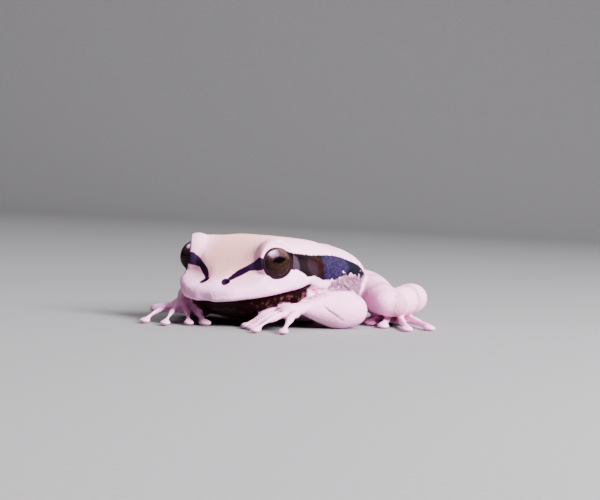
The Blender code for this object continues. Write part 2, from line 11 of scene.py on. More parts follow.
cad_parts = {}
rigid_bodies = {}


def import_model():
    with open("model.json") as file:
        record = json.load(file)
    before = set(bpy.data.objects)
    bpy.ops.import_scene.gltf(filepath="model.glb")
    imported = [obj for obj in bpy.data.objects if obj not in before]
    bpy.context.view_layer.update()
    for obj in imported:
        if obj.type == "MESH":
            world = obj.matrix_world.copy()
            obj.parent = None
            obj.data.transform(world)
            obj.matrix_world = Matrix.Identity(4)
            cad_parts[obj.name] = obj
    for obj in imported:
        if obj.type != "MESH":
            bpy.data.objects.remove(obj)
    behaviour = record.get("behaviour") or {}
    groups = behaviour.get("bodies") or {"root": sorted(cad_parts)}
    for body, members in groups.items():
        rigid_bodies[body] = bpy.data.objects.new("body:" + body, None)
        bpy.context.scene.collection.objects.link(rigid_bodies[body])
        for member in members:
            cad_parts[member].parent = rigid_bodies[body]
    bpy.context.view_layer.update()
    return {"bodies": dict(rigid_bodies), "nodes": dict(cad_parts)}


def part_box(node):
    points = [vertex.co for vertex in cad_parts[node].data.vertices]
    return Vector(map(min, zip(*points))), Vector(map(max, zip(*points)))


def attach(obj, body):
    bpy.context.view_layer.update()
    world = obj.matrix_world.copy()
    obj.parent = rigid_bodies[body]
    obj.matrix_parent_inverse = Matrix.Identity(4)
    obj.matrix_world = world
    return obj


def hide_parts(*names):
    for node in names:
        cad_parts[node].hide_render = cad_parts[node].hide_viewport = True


body = {
    "snoutY": -29.0,
    "eyeLevel": 13.3,
    "neckPivot": (0.0, -7.0, 6.5),
    "headLowered": math.radians(10),
    "headTurned": math.radians(12),
    "chinSetBack": 1.3,
    "neck": (19.5, 29.0),
    "mouthFront": -5.25,
    "mouthCorner": 16.8,
    # (distance behind the snout tip, value); levels are against the eyes
    "backLine": [(0, -3.5), (0.7, -3.0), (2.3, -2.5), (4, -1.9), (5.7, -0.6), (7.5, 1.1), (9.5, 2.7), (11.5, 3.4),
                 (14, 3.3), (17, 2.9), (20, 2.2), (24, 1.3), (28, 0.8), (33, 0.4), (38, -0.1), (43, -1.2),
                 (48, -3.2), (52, -5.3), (55.5, -7.6), (58, -9.6)],
    "ridgeSide": [(0, 0.8), (0.7, 1.1), (2.3, 1.5), (4, 2.0), (5.7, 3.3), (7.5, 5.5), (9.2, 6.9), (12, 7.5),
                  (14.5, 7.9), (17, 8.4), (20, 8.3), (24, 7.6)],
    "ridgeLine": [(0, -4.0), (0.7, -3.4), (2.3, -2.9), (4, -2.4), (5.7, -1.1), (7.5, 1.0), (9.2, 2.8), (12, 3.1),
                  (14.5, 2.0), (17, 0.9), (20, 0.0), (24, -0.7)],
    "halfWidth": [(0, 2.0), (0.7, 4.0), (2.3, 6.0), (4.5, 7.8), (6.8, 9.1), (9, 9.9), (11.5, 10.4),
                  (14, 10.7), (17, 10.8), (19.5, 10.7), (22, 10.6), (26, 11.1), (31, 11.9), (36, 11.8), (41, 10.5),
                  (46, 8.7), (50, 7.0), (54, 4.9), (56.5, 3.2), (58, 1.8)],
    "widestLine": [(0, -3.8), (0.7, -3.55), (4, -3.45), (17, -3.85), (20, -4.5), (23, -5.3), (27, -6.0), (31, -6.4),
                   (36, -6.9), (41, -7.7), (50, -9.1), (58, -10.4)],
    "archSquareness": 2.6,
    "bellySquareness": 2.7,
    "bellyLine": [(0, -5.6), (0.7, -6.2), (1.5, -7.1), (3, -8.1), (6, -9.2), (10, -10.2), (14, -11.1),
                  (18, -12.1), (22, -13.0), (26, -13.4), (30, -13.5), (44, -13.5), (49, -13.2),
                  (54, -12.0), (58, -10.8)],
    "lorealHollow": [(0, 0.0), (2.3, 0.35), (4.5, 0.6), (7, 0.5), (9, 0.2), (12, 0.2), (15, 0.15),
                     (17, 0.25), (20, 0.0)],
}

eyes = {
    "side": 7.6,
    "back": 9.8,
    "level": -0.1,
    "radius": 2.8,
    "lidBearing": math.radians(57),
    "lidLift": math.radians(12),
    "lidOpening": math.radians(56.5),
    "lidThickness": 0.45,
    "brow": 0.55,
    "browFlare": 0.55,
    "pupilBearing": math.radians(52),
    "pupilLift": math.radians(21),
    "pupilTilt": math.radians(11),
}

leftArm = {"shoulder": (6.4, -4.4, 6.6), "elbow": (13.4, -6.2, 3.1), "wrist": (8.8, -17.0, 3.75),
           "knuckles": (7.5, -21.2, 3.15), "fan": (-42, -22, -4, 16), "heading": -10}
rightArm = {"shoulder": (-6.4, -4.4, 6.6), "elbow": (-13.8, -6.6, 3.1), "wrist": (-12.2, -16.7, 3.8),
            "knuckles": (-11.5, -21.0, 2.8), "fan": (-36, -18, 0, 20), "heading": 10}

limbs = {
    "palmRadii": [(0, 1.3), (0.5, 1.7), (1, 2.0)],
    "fingerLengths": (5.4, 6.8, 10.2, 8.4),
    "fingerSpread": 1.1,
    "fingerRadius": 0.56,
    "fingerPad": (1.2, 1.35, 0.56),
    "digitDrop": 0.3,  # how far a digit starts below the middle of the palm or sole
    # webs: share and half width of the middle line, share of the digits that is webbed, thickness
    "handWeb": (0.24, 1.5, 0.2, 0.4),
    "footWeb": (0.5, 3.2, 0.5, 0.5),
    "upperArmRadii": [(0, 3.1), (0.45, 2.7), (1, 2.5)],
    "forearmRadii": [(0, 2.95), (0.25, 3.45), (0.6, 2.7), (1, 1.3)],
    "hip": (4.8, 19.5, 5.6),
    "knee": (17.4, 1.6, 4.3),
    "heel": (12.0, 26.6, 2.6),
    "sole": (15.6, 11.6, 1.5),
    "thighRadii": [(0, 3.4), (0.3, 4.0), (0.7, 3.4), (1, 2.5)],
    "shankRadii": [(0, 2.4), (0.3, 2.9), (0.65, 2.3), (1, 1.6)],
    "tarsusRadii": [(0, 1.65), (0.5, 1.35), (1, 1.5)],
    "toeLengths": (5.6, 8.4, 12.6, 17.2, 13.2),
    "toeSpread": 0.72,
    "toeFan": (-16, -3, 10, 23, 39),
    "toeRadius": 0.6,
    "toePad": (1.08, 1.2, 0.52),
}

skinBuild = {
    "limbSides": 24,
    "capRings": 4,
    "voxel": 0.26,
    "smoothing": 11,
    "triangles": 190000,
    "creaseRounds": 420,
    "tipRounds": 12,
    "plainBehind": 26,  # thinned further back than this
    # how far the finer mesh reaches round the eyes, nostrils and mouth line
    "fineEye": 4.3,
    "fineNostril": 1.3,
    "fineLip": 0.75,
}


def smoothThrough(keys, at):
    # Cubic curve through (position, value) keys, with slopes from the neighbouring keys.
    knots = np.array([key[0] for key in keys], float)
    values = np.array([key[1] for key in keys], float)
    steps = np.diff(knots)
    shape = (len(steps),) + (1,) * (values.ndim - 1)
    secants = np.diff(values, axis=0) / steps.reshape(shape)
    slopes = np.empty_like(values)
    slopes[0], slopes[-1] = secants[0], secants[-1]
    before, after = steps[:-1].reshape((-1,) + shape[1:]), steps[1:].reshape((-1,) + shape[1:])
    slopes[1:-1] = (secants[:-1] * after + secants[1:] * before) / (before + after)
    at = np.clip(np.asarray(at, float), knots[0], knots[-1])
    index = np.clip(np.searchsorted(knots, at, side="right") - 1, 0, len(steps) - 1)
    width = steps[index].reshape(at.shape + (1,) * (values.ndim - 1))
    t = ((at - knots[index]).reshape(width.shape)) / width
    return (values[index] * (1 + 2 * t) * (1 - t) ** 2 + slopes[index] * width * t * (1 - t) ** 2
            + values[index + 1] * t * t * (3 - 2 * t) + slopes[index + 1] * width * t * t * (t - 1))


def fade(value, start, end):
    t = np.clip((value - start) / (end - start), 0.0, 1.0)
    return t * t * (3 - 2 * t)


def profile(name, back):
    return float(smoothThrough(body[name], back))


def levelOf(name, back):
    return body["eyeLevel"] + profile(name, back)


def headHalf(back):
    # Half outline of the head's cross section, from the crown round the lip to the throat.
    top, level, belly = (levelOf(name, back) for name in ("backLine", "widestLine", "bellyLine"))
    side, hollow = profile("halfWidth", back), profile("lorealHollow", back)
    ridge = (profile("ridgeSide", back), levelOf("ridgeLine", back))
    depth = max(level - belly, 0.3)
    jaw = min(1.0, max(depth - 2.0, 0.0) / 2.0)
    return [(0, top),
            (ridge[0] * 0.55, top - 0.12 * (top - ridge[1])),
            ridge,
            (0.52 * ridge[0] + 0.48 * side - hollow, 0.5 * (ridge[1] + level) + 0.4),
            (side - 0.4, level + min(1.2, 0.4 * (ridge[1] - level) + 0.1)),
            (side, level),
            (side - 0.3, level - min(1.0, 0.5 * depth)),
            (side - 0.85, level - min(1.65, 0.82 * depth)),
            (side - 0.9 - 0.5 * jaw, level - min(1.85, 0.9 * depth)),
            (side - 1.25, level - min(2.4, 0.93 * depth)),
            (side - 1.9 - 0.6 * jaw, 0.45 * (level - 2.4 * jaw) + 0.55 * belly),
            (side * 0.5, belly + 0.12 * depth * jaw),
            (0, belly)]


def torsoHalf(back):
    # Half outline of the body's cross section: a low arch on a flatter belly.
    top, level, belly = (levelOf(name, back) for name in ("backLine", "widestLine", "bellyLine"))
    side = profile("halfWidth", back)
    points = []
    for turn in (90, 70, 52, 35, 18, 0, -12, -22, -32, -42, -54, -70, -90):
        c, s = math.cos(math.radians(turn)), math.sin(math.radians(turn))
        power = 2 / body["archSquareness" if turn > 0 else "bellySquareness"]
        reach = top - level if turn > 0 else level - belly
        points.append((side * abs(c) ** power, level + math.copysign(reach * abs(s) ** power, s)))
    points[0], points[-1] = (0, top), (0, belly)
    return points


def crossSection(back, perSpan):
    share = max(fade(back, 17.0, 24.0), 1 - fade(back, 0.4, 3.2))
    half = [((1 - share) * a[0] + share * b[0], (1 - share) * a[1] + share * b[1])
            for a, b in zip(headHalf(back), torsoHalf(back))]
    ring = half + [(-x, z) for x, z in reversed(half[1:-1])]
    wrapped = ring[-3:] + ring + ring[:4]
    chords = [math.dist(a, b) ** 0.5 for a, b in zip(wrapped, wrapped[1:])]
    knots = np.concatenate([[0.0], np.cumsum(chords)])
    at = np.concatenate([np.linspace(knots[i], knots[i + 1], perSpan, endpoint=False)
                         for i in range(3, 3 + len(ring))])
    return smoothThrough(list(zip(knots, wrapped)), at)


def chinShift(back, z):
    below = body["eyeLevel"] + body["mouthFront"] + 0.1 - z
    return body["chinSetBack"] * fade(below, -0.25, 0.6) * (1 - fade(back, 1.5, 13.0))


def addObject(name, data):
    obj = bpy.data.objects.new(name, data)
    bpy.context.scene.collection.objects.link(obj)
    return obj


def meshObject(name, points, faces):
    mesh = bpy.data.meshes.new(name)
    mesh.from_pydata([tuple(p) for p in points], [], faces)
    shaped = bmesh.new()
    shaped.from_mesh(mesh)
    bmesh.ops.recalc_face_normals(shaped, faces=shaped.faces)
    shaped.to_mesh(mesh)
    shaped.free()
    return addObject(name, mesh)


def ringsToSolid(name, rings, firstPole, lastPole):
    count = len(rings[0])
    points = [point for ring in rings for point in ring] + [firstPole, lastPole]
    faces = []
    for r in range(len(rings) - 1):
        for k in range(count):
            a, b = r * count + k, r * count + (k + 1) % count
            faces.append((a, b, b + count, a + count))
    end = (len(rings) - 1) * count
    for k in range(count):
        faces.append((len(points) - 2, (k + 1) % count, k))
        faces.append((len(points) - 1, end + k, end + (k + 1) % count))
    return meshObject(name, points, faces)


def pitched(points, angle):
    x, y, z = points.T
    return np.stack([x, y * np.cos(angle) - z * np.sin(angle), y * np.sin(angle) + z * np.cos(angle)], 1)


def turned(points, angle):
    x, y, z = points.T
    return np.stack([x * np.cos(angle) - y * np.sin(angle), x * np.sin(angle) + y * np.cos(angle), z], 1)


def headShare(points):
    # 1 on the head, fading to 0 behind the neck.
    return 1 - fade(points[:, 1] - body["snoutY"], *body["neck"])


def lowerAndTurn(points):
    # Lowers the snout and turns it to the frog's right.
    pivot, share = np.array(body["neckPivot"]), headShare(points)
    return pivot + turned(pitched(points - pivot, share * body["headLowered"]), -share * body["headTurned"])


def raiseAndStraighten(points):
    # The reverse: where each point of the turned head lies on the straight frog.
    pivot, home = np.array(body["neckPivot"]), points
    for attempt in range(8):
        share = headShare(home)
        home = pitched(turned(points - pivot, share * body["headTurned"]), -share * body["headLowered"]) + pivot
    return home


def axialBody(name):
    stations = [0.0, 0.3, 0.7, 1.2] + list(np.arange(1.7, 24, 0.5)) + list(np.arange(24.6, 57.2, 1.2))
    stations += [57.4, 58.0]
    rings = []
    for back in stations:
        ring = [(x, body["snoutY"] + back + chinShift(back, z), z) for x, z in crossSection(back, 4)]
        rings.append(lowerAndTurn(np.array(ring)))
    first, last = rings[0].mean(0), rings[-1].mean(0)
    return ringsToSolid(name, rings, first + (0, -0.12, 0), last + (0, 0.25, 0))


class CentreLine:
    # The middle line of a limb or digit, which the markings follow later.
    def __init__(self, centres, sizes, banding=0.0):
        self.centres = np.array(centres, float)
        self.sizes = np.array(sizes, float)
        self.banding = banding
        steps = np.linalg.norm(np.diff(self.centres, axis=0), axis=1)
        self.along = np.concatenate([[0.0], np.cumsum(steps)])


def sweptLimb(kind, start, end, bulge, flat=1.0, steps=26, banding=0.0):
    # A rod of round or flattened rings along a curve that swings out by bulge half way.
    path = [tuple(start), tuple((start + end) / 2 + Vector(bulge)), tuple(end)]
    knots = np.concatenate([[0.0], np.cumsum([math.dist(a, b) for a, b in zip(path, path[1:])])])
    keys = list(zip(knots / knots[-1], path))
    shares = np.linspace(0, 1, steps)
    line = CentreLine(smoothThrough(keys, shares), smoothThrough(limbs[kind + "Radii"], shares), banding)
    ahead = smoothThrough(keys, np.clip(shares + 0.01, 0, 1))
    tangents = ahead - smoothThrough(keys, np.clip(shares - 0.01, 0, 1))
    tangents /= np.linalg.norm(tangents, axis=1)[:, None]
    stations = list(zip(line.centres, tangents, line.sizes))
    sides, caps, poles = skinBuild["limbSides"], skinBuild["capRings"], []
    for centre, tangent, size in (stations[0], stations[-1]):
        out = tangent if poles else -tangent
        cap = [(centre + out * size * math.sin(a), tangent, size * math.cos(a))
               for a in (math.pi / 2 * k / (caps + 1) for k in range(1, caps + 1))]
        stations = stations + cap if poles else cap[::-1] + stations
        poles.append(centre + out * size)
    rings = []
    for centre, tangent, size in stations:
        across = np.cross(tangent, (0, 0, 1))
        across /= np.linalg.norm(across)
        up = np.cross(across, tangent)
        rings.append([centre + size * (math.cos(a) * across + flat * math.sin(a) * up)
                      for a in (2 * math.pi * k / sides for k in range(sides))])
    return line, ringsToSolid(kind, rings, *poles)


def ball(name, centre, radii, segments=32, rings=20):
    bpy.ops.mesh.primitive_uv_sphere_add(segments=segments, ring_count=rings, radius=1)
    obj = bpy.context.object
    obj.name = name
    obj.data.transform(Matrix.Translation(centre) @ Matrix.Diagonal((*radii, 1)))
    return obj


def digitTree():
    # Geometry Nodes for one finger or toe: an arched, jointed rod that ends in a round pad.
    tree = bpy.data.node_groups.new("digit", "GeometryNodeTree")
    kinds = {"Geometry": "Geometry", "Radius": "Float", "Heading": "Float", "Material": "Material"}
    for name in ("Geometry", "Knuckle", "Arch", "Tip", "Radius", "Pad", "Pad Centre", "Heading", "Material"):
        kind = "NodeSocket" + kinds.get(name, "Vector")
        tree.interface.new_socket(name, in_out="INPUT", socket_type=kind)
    tree.interface.new_socket("Geometry", in_out="OUTPUT", socket_type="NodeSocketGeometry")
    given = tree.nodes.new("NodeGroupInput").outputs
    calc, times, scaled = nodeTools(tree)[:3]

    def add(kind, **inputs):
        return addNode(tree, "GeometryNode" + kind, {key.replace("_", " "): value for key, value in inputs.items()})

    curve = add("CurveQuadraticBezier", Resolution=20, Start=given["Knuckle"], Middle=given["Arch"],
                End=given["Tip"])
    along = add("SplineParameter")
    taper = scaled(along, -0.24, 1.14)
    knobs = scaled(calc("COSINE", times(along, 12.6)), 0.13, taper)  # a swelling at each joint
    ring = add("CurvePrimitiveCircle", Resolution=16, Radius=1.0)
    rod = add("CurveToMesh", Curve=curve, Profile_Curve=ring, Scale=times(knobs, given["Radius"]),
              Fill_Caps=True)
    spin = addNode(tree, "ShaderNodeCombineXYZ", {"Z": given["Heading"]})
    pad = add("MeshUVSphere", Segments=24, Rings=14, Radius=1.0)
    pad = add("Transform", Geometry=pad, Scale=given["Pad"])
    pad = add("Transform", Geometry=pad, Rotation=spin, Translation=given["Pad Centre"])
    joined = tree.nodes.new("GeometryNodeJoinGeometry")
    tree.links.new(rod, joined.inputs[0])
    tree.links.new(pad, joined.inputs[0])
    real = add("RealizeInstances", Geometry=joined.outputs[0])
    painted = add("SetMaterial", Geometry=real, Material=given["Material"])
    tree.links.new(painted, tree.nodes.new("NodeGroupOutput").inputs[0])
    return tree


def addNode(tree, kind, inputs=None, index=0, **settings):
    made = tree.nodes.new(kind)
    for key, value in settings.items():
        setattr(made, key, value)
    for key, value in (inputs or {}).items():
        socket = made.inputs[key]
        if isinstance(value, bpy.types.NodeSocket):
            tree.links.new(value, socket)
        else:
            socket.default_value = value
    return made.outputs[index]


def digit(kind, tree, base, heading, length):
    radius, pad = limbs[kind + "Radius"], limbs[kind + "Pad"]
    turn = math.radians(heading)
    forward, foot = Vector((math.sin(turn), -math.cos(turn), 0)), Vector((base.x, base.y, 0))
    tip = foot + forward * length
    arch = foot + forward * length * 0.5 + Vector((0, 0, base.z * 0.9 + 0.35))
    values = {"Knuckle": base, "Arch": arch, "Tip": (tip.x, tip.y, radius * 0.85), "Radius": radius,
              "Pad": pad, "Pad Centre": (tip.x, tip.y, pad[2] * 0.9), "Heading": turn,
              "Material": skinMaterial}
    obj = addObject(kind, bpy.data.meshes.new(kind))
    modifier = obj.modifiers.new("digit", "NODES")
    modifier.node_group = tree
    for item in tree.interface.items_tree:
        if item.in_out == "INPUT" and item.name in values:
            modifier[item.identifier] = values[item.name]
    applyModifiers(obj)
    shares = np.linspace(0, 1, 7)[:, None]
    centres = (np.array(base) * (1 - shares) ** 2 + np.array(arch) * 2 * shares * (1 - shares)
               + np.array(values["Tip"]) * shares ** 2)
    sizes = radius * (1.3 - 0.3 * shares[:, 0])
    sizes[-1] = pad[0]
    return CentreLine(centres, sizes), obj, tip


def webBetween(name, base, tips, reach, thickness):
    # Web membrane: a fan from the sole out to scalloped edges between the digits, at their height.
    root = Vector((base[0] + 0.06, base[1] + 0.04, 0))
    rays = [tip - root for tip in tips]
    path = [(rays[0], 0.1)]
    for one, two in zip(rays, rays[1:]):
        for share in (0, 0.25, 0.5, 0.75):
            path.append((one * (1 - share) + two * share, reach * (1 - 0.3 * math.sin(math.pi * share))))
    path += [(rays[-1], reach), (rays[-1], 0.1)]
    start, half = base[2] - 0.37, thickness / 2
    rim = [(root + ray * away, max(start + (0.55 - start) * away - 0.1, half + 0.05)) for ray, away in path]
    count = len(rim)
    points = [(p.x, p.y, z + lift) for lift in (-half, half) for p, z in rim]
    points += [(root.x, root.y, start + lift) for lift in (-half, half)]
    faces = []
    for k in range(count):
        n = (k + 1) % count
        faces += [(k, n, count + n, count + k), (2 * count, n, k), (2 * count + 1, count + k, count + n)]
    return meshObject(name, points, faces)


def webLine(root, tips, reach, wide):
    # A short middle line that marks a web as part of its limb.
    middle = sum(tips, Vector()) / len(tips)
    return CentreLine([tuple(root), tuple(root.lerp(middle, reach))], [1.3, wide])


def digitsAndWeb(kind, web, before, root, side, fan, heading, tree):
    # Fingers or toes side by side across the end of a palm or sole, with the web between them.
    outward = Vector((0, 0, 1)).cross((root - before).normalized()).normalized() * side
    middle = (len(fan) - 1) / 2
    made, tips = [], []
    for k, (length, angle) in enumerate(zip(limbs[kind + "Lengths"], fan)):
        base = root + outward * (k - middle) * limbs[kind + "Spread"] - Vector((0, 0, limbs["digitDrop"]))
        line, obj, tip = digit(kind, tree, base, heading + angle * side, length)
        made.append((line, obj))
        tips.append(tip)
    lineReach, wide, reach, thickness = limbs[web]
    made.append((webLine(root, tips, lineReach, wide), webBetween(web, root, tips, reach, thickness)))
    return made


def armPieces(arm, side, tree):
    shoulder, elbow, wrist, knuckles = (Vector(arm[k]) for k in ("shoulder", "elbow", "wrist", "knuckles"))
    return [sweptLimb("upperArm", shoulder, elbow, (0.8 * side, 1.2, 0), banding=0.1),
            sweptLimb("forearm", elbow, wrist, (0, 0, 0.1), flat=0.98, banding=0.2),
            sweptLimb("palm", wrist, knuckles, (0, 0, 0), flat=0.6),
            *digitsAndWeb("finger", "handWeb", wrist, knuckles, side, arm["fan"], arm["heading"], tree)]


def legPieces(side, tree):
    hip, knee, heel, sole = (Vector((limbs[k][0] * side, *limbs[k][1:])) for k in ("hip", "knee", "heel", "sole"))
    below = knee + Vector((side, 0.6, -0.2))
    return [sweptLimb("thigh", hip, knee, (0.4 * side, 0, 0.3), flat=0.92, banding=1.0),
            sweptLimb("shank", below, heel, (3.1 * side, 0, 1.2), flat=0.95, steps=34, banding=1.0),
            sweptLimb("tarsus", heel, sole, (0.4 * side, 0, -0.2), flat=0.85, banding=0.6),
            *digitsAndWeb("toe", "footWeb", heel, sole, side, limbs["toeFan"], 0, tree)]


def eyeCentre(side):
    return np.array((eyes["side"] * side, body["snoutY"] + eyes["back"], body["eyeLevel"] + eyes["level"]))


def bearing(side, round_, lift):
    flat = math.cos(lift)
    return np.array((side * math.sin(round_) * flat, -math.cos(round_) * flat, math.sin(lift)))


def posed(point):
    return lowerAndTurn(np.array([point], float))[0]


def posedAxis(side, round_, lift):
    centre = eyeCentre(side)
    axis = posed(centre + bearing(side, round_, lift)) - posed(centre)
    return axis / np.linalg.norm(axis)


def joinAll(name, objects):
    made = bmesh.new()
    for obj in objects:
        made.from_mesh(obj.data)
    mesh = bpy.data.meshes.new(name)
    made.to_mesh(mesh)
    made.free()
    for obj in objects:
        bpy.data.objects.remove(obj)
    return addObject(name, mesh)


def applyModifiers(obj):
    graph = bpy.context.evaluated_depsgraph_get()
    made = bpy.data.meshes.new_from_object(obj.evaluated_get(graph))
    obj.modifiers.clear()
    obj.data = made


def remeshed(obj, voxel):
    modifier = obj.modifiers.new("fuse", "REMESH")
    modifier.mode = "VOXEL"
    modifier.voxel_size = voxel
    applyModifiers(obj)


def columns(items, name, width, kind=np.float64):
    values = np.empty(len(items) * width, kind)
    items.foreach_get(name, values)
    return values.reshape(-1, width)


def vertexArray(mesh):
    return columns(mesh.vertices, "co", 3)


def edgeArray(mesh):
    return columns(mesh.edges, "vertices", 2, np.int64)


def relaxed(points, edges, rounds, weights=None, pull=-0.53):
    # Each round is one step in and then, unless pull is positive, one back out, so that nothing shrinks.
    count = len(points)
    degree = np.maximum(np.bincount(edges.ravel(), minlength=count), 1)[:, None]
    for step in range(rounds * 2):
        total = np.zeros_like(points)
        for axis in range(3):
            total[:, axis] = (np.bincount(edges[:, 0], points[edges[:, 1], axis], count)
                              + np.bincount(edges[:, 1], points[edges[:, 0], axis], count))
        move = (total / degree - points) * (0.5 if step % 2 == 0 else pull)
        points = points + (move if weights is None else move * weights[:, None])
    return points


def setAttribute(mesh, name, values):
    kind = "FLOAT_VECTOR" if values.ndim == 2 else "FLOAT"
    layer = mesh.attributes.new(name, kind, "POINT")
    layer.data.foreach_set("vector" if values.ndim == 2 else "value", values.astype(np.float32).ravel())


def segmentDistance(points, start, end):
    start, end = np.asarray(start, float), np.asarray(end, float)
    line = end - start
    share = np.clip(((points - start) @ line) / (line @ line), 0, 1)
    return np.linalg.norm(points - start - share[:, None] * line, axis=1), share


def strokeField(points, stroke):
    # How deep each point lies in a stroke of (point, half width) keys; negative outside.
    best = np.full(len(points), -99.0)
    for (a, wide), (b, next_) in zip(stroke, stroke[1:]):
        away, share = segmentDistance(points, a, b)
        best = np.maximum(best, wide + (next_ - wide) * share - away)
    return best


def polygonField(points, outline):
    # Signed distance to an outline in the plane, positive inside.
    inside = np.zeros(len(points), bool)
    nearest = np.full(len(points), 99.0)
    for a, b in zip(outline, outline[1:] + outline[:1]):
        away, share = segmentDistance(points, a, b)
        nearest = np.minimum(nearest, away)
        crosses = (a[1] > points[:, 1]) != (b[1] > points[:, 1])
        slope = (b[0] - a[0]) * (points[:, 1] - a[1]) / ((b[1] - a[1]) or 1e-9) + a[0]
        inside ^= crosses & (points[:, 0] < slope)
    return np.where(inside, nearest, -nearest)


print("loading the frame")
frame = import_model()

skinMaterial = bpy.data.materials.new("frogSkin")


def mouthLevel(back):
    return smoothThrough(body["widestLine"], back) - 1.8 + 0.9 * fade(back, 13.2, 16.8)


def homeSpots(home):
    # Places on the straight frog: out from the middle, back from the snout, up from the eyes.
    return np.stack([np.abs(home[:, 0]), home[:, 1] - body["snoutY"], home[:, 2] - body["eyeLevel"]], 1)


def limbFields(points, lines):
    # For each point, the distance to the nearest limb's skin, which limb that is and how far along it.
    nearest = np.full(len(points), 99.0)
    along = np.zeros(len(points))
    which = np.zeros(len(points), int)
    for number, line in enumerate(lines, 1):
        margin = line.sizes.max() + 2.5
        inside = (points > line.centres.min(0) - margin) & (points < line.centres.max(0) + margin)
        chosen = np.flatnonzero(inside.all(1))
        spots = points[chosen]
        for k in range(len(line.centres) - 1):
            away, share = segmentDistance(spots, line.centres[k], line.centres[k + 1])
            away = away - (line.sizes[k] + (line.sizes[k + 1] - line.sizes[k]) * share)
            place = line.along[k] + (line.along[k + 1] - line.along[k]) * share
            closer = away < nearest[chosen]
            hit = chosen[closer]
            nearest[hit], along[hit], which[hit] = away[closer], place[closer], number
    return nearest, along, which


def buildSkin():
    tree = digitTree()
    made = []
    for arm, side in ((leftArm, 1), (rightArm, -1)):
        made += armPieces(arm, side, tree) + legPieces(side, tree)
    whole = [axialBody("axial")] + [obj for line, obj in made]
    for side in (1, -1):
        shell = eyes["radius"] + eyes["lidThickness"]
        centre = eyeCentre(side) - 0.1 * bearing(side, eyes["lidBearing"], eyes["lidLift"])
        centre = posed(centre + np.array((0, 0, eyes["brow"] * 0.6)))
        whole.append(ball("lid", centre, (shell, shell, shell + eyes["brow"])))
    skin = joinAll("skin", whole)
    remeshed(skin, skinBuild["voxel"])
    print("skin fused", len(skin.data.vertices))
    return skin, [line for line, obj in made]


def refine(skin, lines):
    # Halves the faces where lids, lips and nostrils need a finer mesh.
    points = vertexArray(skin.data)
    spots = homeSpots(raiseAndStraighten(points))
    back, level = spots.T[1:]
    near = apart(spots, (eyes["side"], eyes["back"], eyes["level"])) < skinBuild["fineEye"]
    near |= apart(spots, face["nostril"]) < skinBuild["fineNostril"]
    near |= (back < body["mouthCorner"] + 1.5) & (np.abs(level - mouthLevel(back)) < skinBuild["fineLip"])
    near &= limbFields(points, lines)[0] > 0.6
    shaped = bmesh.new()
    shaped.from_mesh(skin.data)
    shaped.verts.ensure_lookup_table()
    chosen = [f for f in shaped.faces if any(near[v.index] for v in f.verts)]
    edges = list({e for f in chosen for e in f.edges})
    bmesh.ops.subdivide_edges(shaped, edges=edges, cuts=1, use_grid_fill=True)
    bmesh.ops.triangulate(shaped, faces=shaped.faces)
    shaped.to_mesh(skin.data)
    shaped.free()


face = {
    # places are (out, back from the snout, level against the eyes)
    "nostril": (2.05, 3.5, -2.5),
    "eardrum": (10.2, 19.0, -2.5),
    "eardrumRadius": 1.75,
    # height or depth, distance from the mouth line or the nostril's middle, width
    "mouthGroove": (-0.5, 0.0, 0.17),
    "lipSwell": (0.14, 0.75, 0.55),
    "nostrilPit": (-0.5, 0.0, 0.32),
    "nostrilRim": (0.1, 0.68, 0.28),
    "lidFlare": 0.26,
    "lidSink": 0.4,
    "creaseDepth": 0.09,
    "foldHeight": 0.22,
    "foldPath": [((9.4, 12.3, 1.2), 0.5), ((9.5, 15.5, 0.5), 0.6), ((10.2, 19.0, -0.9), 0.6),
                 ((10.4, 22.0, -3.2), 0.5), ((10.4, 24.0, -5.2), 0.4)],
}


def creaseDepth(spots):
    return np.max([strokeField(spots, stroke) for stroke in markings["creases"]], axis=0)


def apart(spots, place):
    return np.linalg.norm(spots - np.array(place), axis=1)


def normalsOf(mesh, points):
    mesh.vertices.foreach_set("co", points.ravel())
    mesh.update()
    return columns(mesh.vertices, "normal", 3)


def fromEye(points, side):
    # Each point's way and distance from one eye's middle, and the cosine of its angle off the lid opening.
    centre = posed(eyeCentre(side))
    axis = posedAxis(side, eyes["lidBearing"], eyes["lidLift"])
    arm = points - centre
    reach = np.linalg.norm(arm, axis=1)
    return centre, axis, arm, reach, (arm @ axis) / np.maximum(reach, 1e-6)


def fillCreases(mesh, points):
    # Fills the corner between each brow and the crown, and leaves what bulges as it is.
    near = np.zeros(len(points))
    around = np.zeros(len(points), bool)
    for side in (1, -1):
        arm, reach, facing = fromEye(points, side)[2:]
        near = np.maximum(near, fade(reach, 8.6, 6.4) * fade(facing, 0.5, 0.38) * fade(arm[:, 2], -1.2, 0.0))
        around |= reach < 9.0
    number = np.cumsum(around) - 1
    edges = edgeArray(mesh)
    edges = number[edges[around[edges].all(1)]]
    normals = normalsOf(mesh, points)[around]
    soft = relaxed(points[around], edges, skinBuild["creaseRounds"], near[around], pull=0.5)
    rise = ((soft - points[around]) * normals).sum(1)
    points[around] += normals * (np.maximum(rise, 0.0) * near[around])[:, None]
    return points


def bell(*terms):
    # 1 where every (value, width) has the value 0, falling off on both sides.
    return np.exp(-sum((value / width) ** 2 for value, width in terms))


def raised(name, away):
    height, middle, width = face[name]
    return height * bell((away - middle, width))


